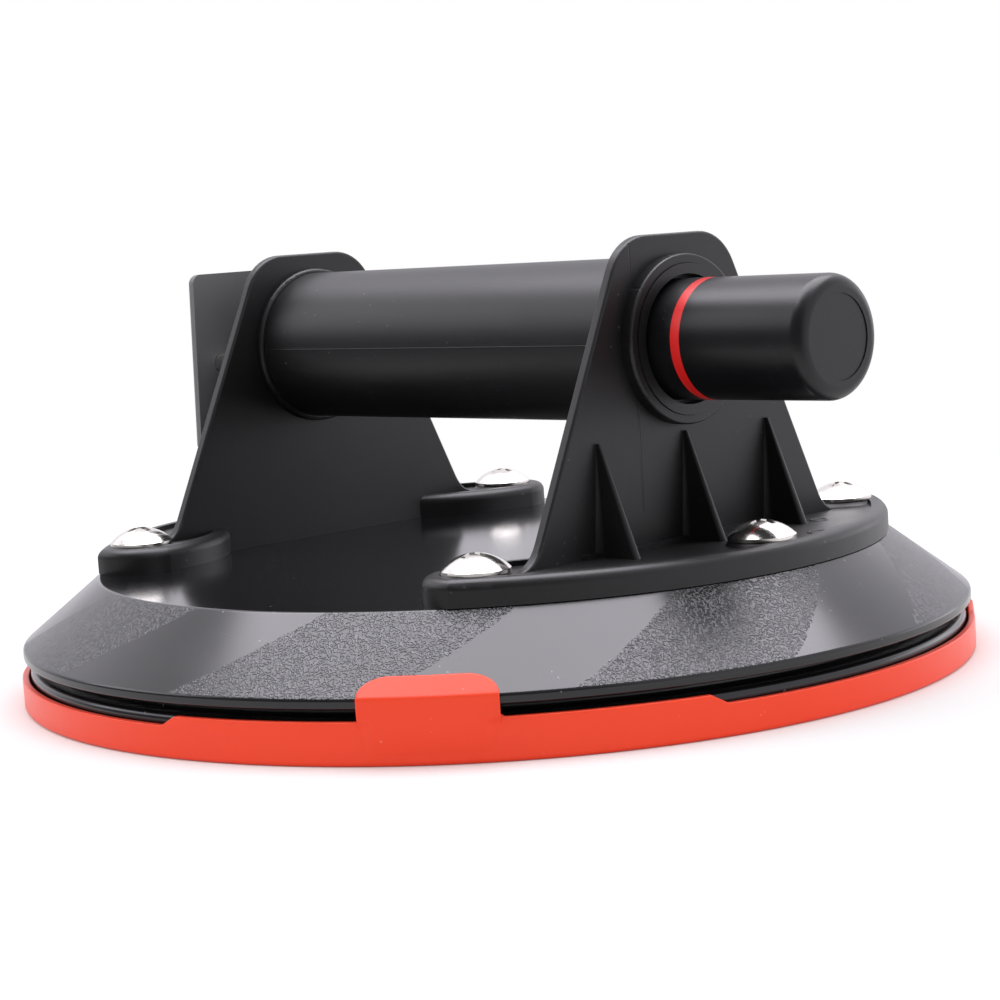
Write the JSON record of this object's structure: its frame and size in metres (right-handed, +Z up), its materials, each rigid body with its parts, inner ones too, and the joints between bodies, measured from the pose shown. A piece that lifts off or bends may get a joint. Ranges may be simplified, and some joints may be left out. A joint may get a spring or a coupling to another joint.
{
  "type": "suction cup lifter",
  "caption": "Hand-pump vacuum lifter: a handle with a pump plunger in its grip, screwed to a round rubber suction pad that rests in a clip-on protective cover.",
  "frame": {"origin": "centre of the underside of the protective cover, on the pad's axis", "axes": "+Z up along the pad's axis, +X along the pump towards the plunger's free end"},
  "size_m": [0.2055, 0.2044, 0.0904],
  "materials": {
    "handle_plastic": "black moulded plastic, satin gloss with fine scuffs",
    "pad_rubber": "black moulded rubber, smooth and grained areas",
    "cover_plastic": "orange-red moulded plastic, satin",
    "plunger_plastic": "dark grey plastic, satin",
    "band_red": "bright red inlay",
    "bush_plastic": "black acetal",
    "polished_steel": "bright polished steel",
    "zinc_steel": "zinc plated",
    "spring_steel": "spring wire",
    "barrel_aluminium": "drawn tube",
    "brass": "turned",
    "seal_rubber": "nitrile",
    "filter_felt": "felt disc"
  },
  "bodies": {
    "cover": {"protective_cover": "cover_plastic", "cover_tabs": "cover_plastic"},
    "handle": {"handle_body": "handle_plastic", "rubber_pad": "pad_rubber", "backing_plate": "zinc_steel", "foot_screws": "polished_steel", "foot_nuts": "zinc_steel", "port_tube": "brass", "port_seal": "seal_rubber", "inlet_filter": "filter_felt", "pump_barrel": "barrel_aluminium", "guide_bush": "bush_plastic", "wiper_seal": "seal_rubber", "valve_plate": "bush_plastic", "check_valve": "seal_rubber", "valve_plug": "brass", "pump_spring": "spring_steel", "return_spring": "spring_steel"},
    "plunger": {"plunger_tube": "plunger_plastic", "plunger_red_band": "band_red", "piston_head": "bush_plastic", "piston_seal": "seal_rubber"},
    "release": {"release_plate": "plunger_plastic", "guide_pins": "polished_steel", "valve_stem": "polished_steel", "stem_seal": "seal_rubber"}
  },
  "joints": [
    {"name": "cover_lift", "type": "slide", "parent": "cover", "child": "handle", "axis": [0, 0, 1], "range_m": [0, 0.04], "deforming": ["cover_tabs"]},
    {"name": "plunger_slide", "type": "slide", "parent": "handle", "child": "plunger", "axis": [-1, 0, 0], "range_m": [0, 0.032], "stiffness_N_per_m": 400, "springref_m": -0.02, "deforming": ["pump_spring"]},
    {"name": "release_slide", "type": "slide", "parent": "handle", "child": "release", "axis": [1, 0, 0], "range_m": [0, 0.0032], "stiffness_N_per_m": 1500, "springref_m": -0.003, "deforming": ["return_spring"]}
  ]
}
